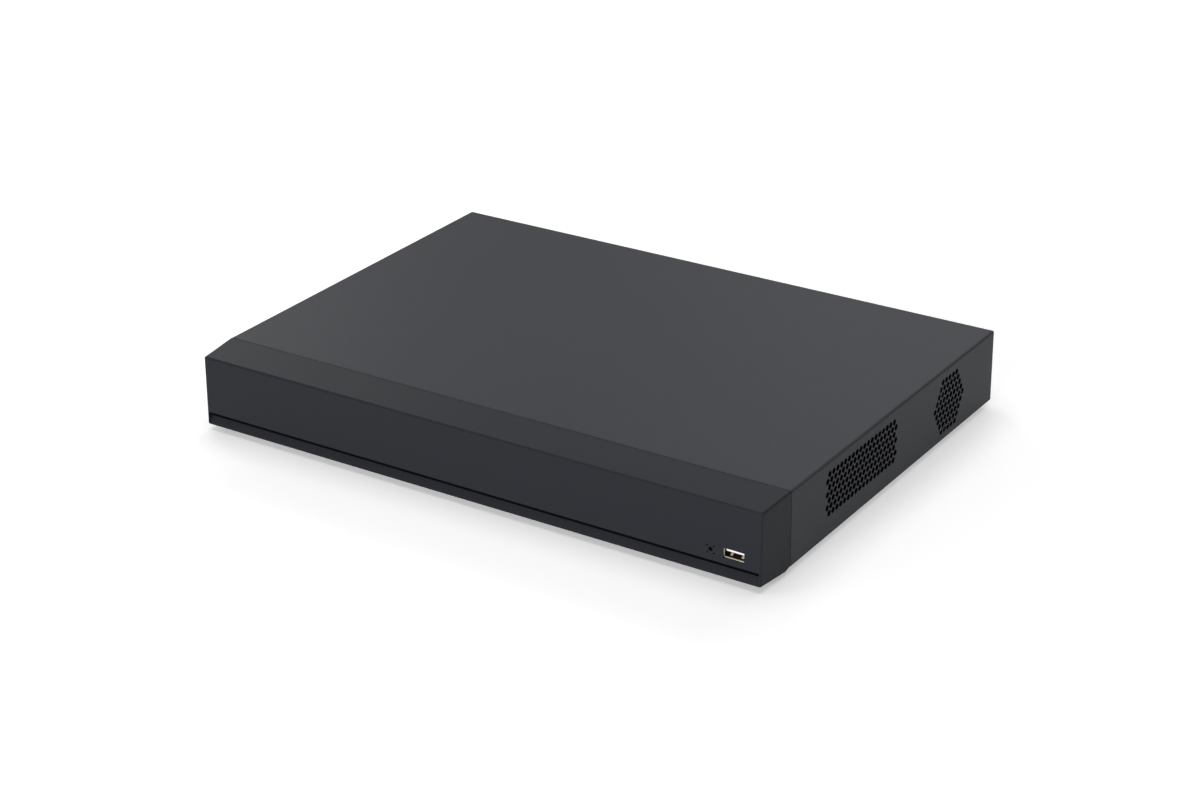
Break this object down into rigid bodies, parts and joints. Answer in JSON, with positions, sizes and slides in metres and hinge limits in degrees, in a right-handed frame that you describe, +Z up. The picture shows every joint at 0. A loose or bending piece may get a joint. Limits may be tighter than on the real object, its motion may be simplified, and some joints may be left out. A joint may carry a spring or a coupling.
{
  "type": "digital video recorder",
  "caption": "Flat rack-depth digital video recorder: steel case, moulded front bezel, perforated sides, camera sockets at the back, lift-off cover over boards, fan and hard drive.",
  "frame": {"origin": "on the surface the feet stand on, under the middle of the whole object's box, camera sockets included", "axes": "+X towards the right side as seen from the front, +Y towards the rear sockets, +Z up; the bezel faces -Y"},
  "size_m": [0.375, 0.281, 0.0477],
  "materials": {
    "powder_steel": "fine matt powder coat",
    "bezel_plastic": "fine matt texture",
    "zinc_steel": "zinc plated",
    "rubber": "matt",
    "black_screw": "black zinc",
    "nickel": "bright nickel",
    "tin_shell": "tinned",
    "white_plastic": "satin",
    "black_plastic": "satin",
    "circuit_board": "solder mask",
    "blue_plastic": "satin",
    "green_plastic": "satin",
    "cast_aluminium": "cast",
    "platter": "polished",
    "chip": "matt",
    "sink": "black anodised",
    "light_guide": "smoked",
    "red_cable": "satin",
    "grey_cable": "satin"
  },
  "bodies": {
    "case": {"audio_sockets": "black_plastic", "board_post_1": "nickel", "board_post_2": "nickel", "board_post_3": "nickel", "board_post_4": "nickel", "cable_clip": "white_plastic", "camera_socket_1": "nickel", "camera_socket_2": "nickel", "camera_socket_3": "nickel", "camera_socket_4": "nickel", "camera_socket_5": "nickel", "camera_socket_6": "nickel", "camera_socket_7": "nickel", "camera_socket_8": "nickel", "chassis_tray": "zinc_steel", "clock_battery": "tin_shell", "cover_screw_left": "black_screw", "cover_screw_right": "black_screw", "drive_base": "cast_aluminium", "drive_board": "circuit_board", "drive_data_lead": "red_cable", "drive_lid": "tin_shell", "drive_plug": "black_plastic", "drive_power_lead": "grey_cable", "drive_screw_1": "nickel", "drive_screw_2": "nickel", "drive_screw_3": "nickel", "drive_screw_4": "nickel", "fan_bracket": "zinc_steel", "fan_frame": "black_plastic", "fan_lead": "black_plastic", "foot_front_left": "rubber", "foot_front_right": "rubber", "foot_rear_left": "rubber", "foot_rear_right": "rubber", "front_bezel": "bezel_plastic", "front_board": "circuit_board", "front_lead": "grey_cable", "front_usb_shell": "tin_shell", "front_usb_tongue": "white_plastic", "ground_screw": "nickel", "hdmi_socket": "tin_shell", "heat_sink": "sink", "light_guide": "light_guide", "main_board": "circuit_board", "network_socket": "tin_shell", "power_jack": "black_plastic", "power_switch_frame": "black_plastic", "processor": "chip", "rear_panel": "powder_steel", "rear_usb_shell": "tin_shell", "rear_usb_tongue": "black_plastic", "sounder": "black_plastic", "terminal_block": "green_plastic", "vga_socket": "blue_plastic"},
    "cover": {"top_cover": "powder_steel"},
    "fan_rotor": {"fan_rotor": "black_plastic"},
    "power_rocker": {"power_rocker": "black_plastic"},
    "drive_platters": {"drive_platters": "platter"},
    "drive_arm": {"drive_arm": "tin_shell"}
  },
  "joints": [
    {"name": "cover_lift", "type": "slide", "parent": "case", "child": "cover", "axis": [0, 0, 1], "range_m": [0, 0.1]},
    {"name": "fan_spin", "type": "hinge", "parent": "case", "child": "fan_rotor", "pos_m": [0.175, 0.0692, 0.0251], "axis": [1, 0, 0], "continuous": true},
    {"name": "rocker_tip", "type": "hinge", "parent": "case", "child": "power_rocker", "pos_m": [0.1705, 0.1279, 0.0245], "axis": [1, 0, 0], "range_deg": [-16, 0]},
    {"name": "platter_spin", "type": "hinge", "parent": "case", "child": "drive_platters", "pos_m": [-0.1144, -0.0554, 0.02], "axis": [0, 0, 1], "continuous": true},
    {"name": "arm_swing", "type": "hinge", "parent": "case", "child": "drive_arm", "pos_m": [-0.1424, -0.0059, 0.02], "axis": [0, 0, 1], "range_deg": [-32, 0]}
  ]
}
